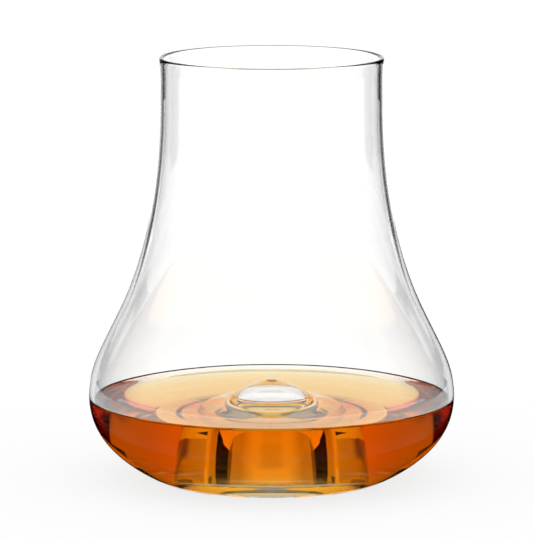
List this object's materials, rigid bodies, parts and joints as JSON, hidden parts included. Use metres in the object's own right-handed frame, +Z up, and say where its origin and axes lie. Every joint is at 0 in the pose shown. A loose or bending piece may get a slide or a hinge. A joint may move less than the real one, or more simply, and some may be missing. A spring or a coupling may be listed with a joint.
{
  "type": "spirits glass",
  "caption": "Bell-shaped stemless spirits glass with a wide belly, a narrow chimney and a punted base, holding a pour of amber spirit.",
  "frame": {"origin": "centre of the bearing ring under the base, on the table plane", "axes": "+Z up along the glass's axis towards the rim; the part is round, so X and Y are free"},
  "size_m": [0.084, 0.084, 0.097],
  "materials": {
    "glass": "clear colourless soda-lime glass, blown smooth, with a fire-polished rim",
    "spirit": "clear amber liquid with a mirror-smooth surface and a wetted edge"
  },
  "bodies": {
    "root": {"glass_body": "glass", "spirit_pour": "spirit"}
  },
  "joints": []
}
